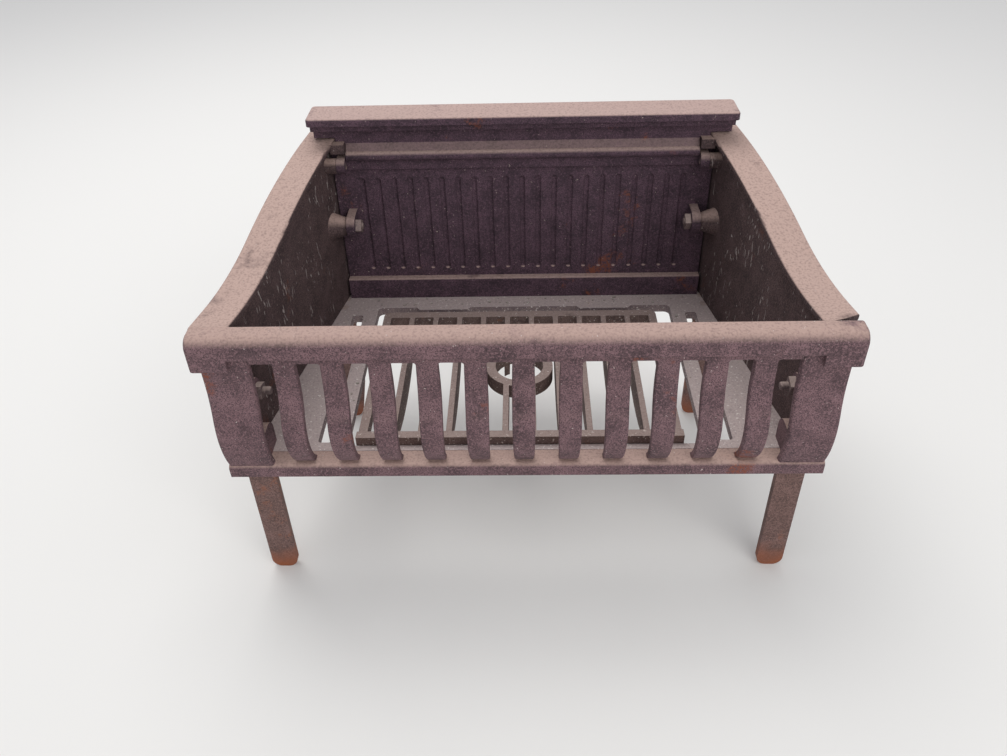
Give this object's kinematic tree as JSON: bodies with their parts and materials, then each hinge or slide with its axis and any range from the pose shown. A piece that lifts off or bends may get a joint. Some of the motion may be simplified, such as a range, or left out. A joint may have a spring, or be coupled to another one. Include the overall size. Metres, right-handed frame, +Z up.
{
  "type": "fireplace insert",
  "caption": "Cast-iron fireplace basket on flat-bar legs, with a bowed bar front, splayed cheeks with swept rims, a fluted back and a loose fire grate.",
  "frame": {"origin": "on the floor, under the middle of the overall box", "axes": "+Z up; +X to the viewer's right of the grille; the grille faces -Y and the fluted back plate stands on the +Y side"},
  "size_m": [0.609, 0.35, 0.405],
  "materials": {
    "grille_iron": "dusty, rust-browned bare iron",
    "basket_iron": "matt, rust-browned bare iron",
    "grate_iron": "ash-dusted bare iron",
    "leg_bar": "rusty bar",
    "fastener_iron": "rusty"
  },
  "bodies": {
    "basket": {"front_casting": "grille_iron", "left_cheek": "basket_iron", "right_cheek": "basket_iron", "back_plate": "basket_iron", "base_plate": "basket_iron", "front_left_leg": "leg_bar", "front_right_leg": "leg_bar", "rear_left_leg": "leg_bar", "rear_right_leg": "leg_bar", "front_left_rivets": "fastener_iron", "front_right_rivets": "fastener_iron", "rear_left_rivets": "fastener_iron", "rear_right_rivets": "fastener_iron", "front_left_bolt": "fastener_iron", "front_right_bolt": "fastener_iron", "middle_left_bolt": "fastener_iron", "middle_right_bolt": "fastener_iron", "upper_left_bolt": "fastener_iron", "upper_right_bolt": "fastener_iron", "front_left_nut": "fastener_iron", "front_right_nut": "fastener_iron", "middle_left_nut": "fastener_iron", "middle_right_nut": "fastener_iron"},
    "grate": {"fire_grate": "grate_iron"}
  },
  "joints": [
    {"name": "grate_lift", "type": "slide", "parent": "basket", "child": "grate", "axis": [0, 0, 1], "range_m": [0, 0.26]}
  ]
}
